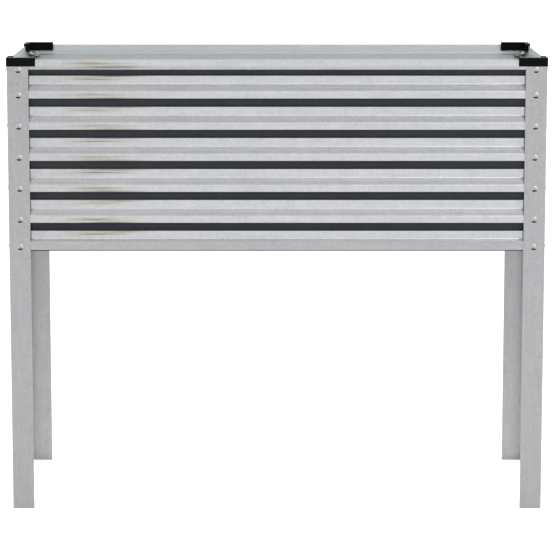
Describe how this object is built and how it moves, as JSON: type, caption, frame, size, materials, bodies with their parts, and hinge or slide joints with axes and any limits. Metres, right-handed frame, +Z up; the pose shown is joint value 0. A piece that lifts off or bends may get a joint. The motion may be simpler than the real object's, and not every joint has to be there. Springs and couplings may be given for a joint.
{
  "type": "raised planter",
  "caption": "Rectangular raised planter on angle-section legs, with bolted corrugated galvanised walls, a drained plank floor and black corner caps.",
  "frame": {"origin": "on the ground, under the middle of the planter's box", "axes": "+X along the planter's width, to the right as seen from the front; the front faces -Y; +Z up"},
  "size_m": [1.0034, 0.4034, 0.853],
  "materials": {
    "galvanised_frame": "galvanised, satin, with faint vertical rolling streaks",
    "galvanised_wall": "galvanised, light, with horizontal streaks and a stain on the front wall",
    "galvanised_floor": "galvanised, satin, dull",
    "zinc_fastener": "bright zinc plated",
    "black_plastic": "moulded, satin"
  },
  "bodies": {
    "root": {"leg_front_left": "galvanised_frame", "leg_front_right": "galvanised_frame", "leg_rear_left": "galvanised_frame", "leg_rear_right": "galvanised_frame", "wall_front": "galvanised_wall", "wall_rear": "galvanised_wall", "wall_left": "galvanised_wall", "wall_right": "galvanised_wall", "rail_front": "galvanised_frame", "rail_rear": "galvanised_frame", "rail_left": "galvanised_frame", "rail_right": "galvanised_frame", "floor_plank_1": "galvanised_floor", "floor_plank_2": "galvanised_floor", "floor_plank_3": "galvanised_floor", "floor_plank_4": "galvanised_floor", "floor_plank_5": "galvanised_floor", "cap_front_left": "black_plastic", "cap_front_right": "black_plastic", "cap_rear_left": "black_plastic", "cap_rear_right": "black_plastic", "screws_front_wall_left": "zinc_fastener", "screws_front_wall_right": "zinc_fastener", "screws_rear_wall_left": "zinc_fastener", "screws_rear_wall_right": "zinc_fastener", "screws_left_wall_front": "zinc_fastener", "screws_left_wall_rear": "zinc_fastener", "screws_right_wall_front": "zinc_fastener", "screws_right_wall_rear": "zinc_fastener", "nuts_front_wall_left": "zinc_fastener", "nuts_front_wall_right": "zinc_fastener", "nuts_rear_wall_left": "zinc_fastener", "nuts_rear_wall_right": "zinc_fastener", "nuts_left_wall_front": "zinc_fastener", "nuts_left_wall_rear": "zinc_fastener", "nuts_right_wall_front": "zinc_fastener", "nuts_right_wall_rear": "zinc_fastener"}
  },
  "joints": []
}
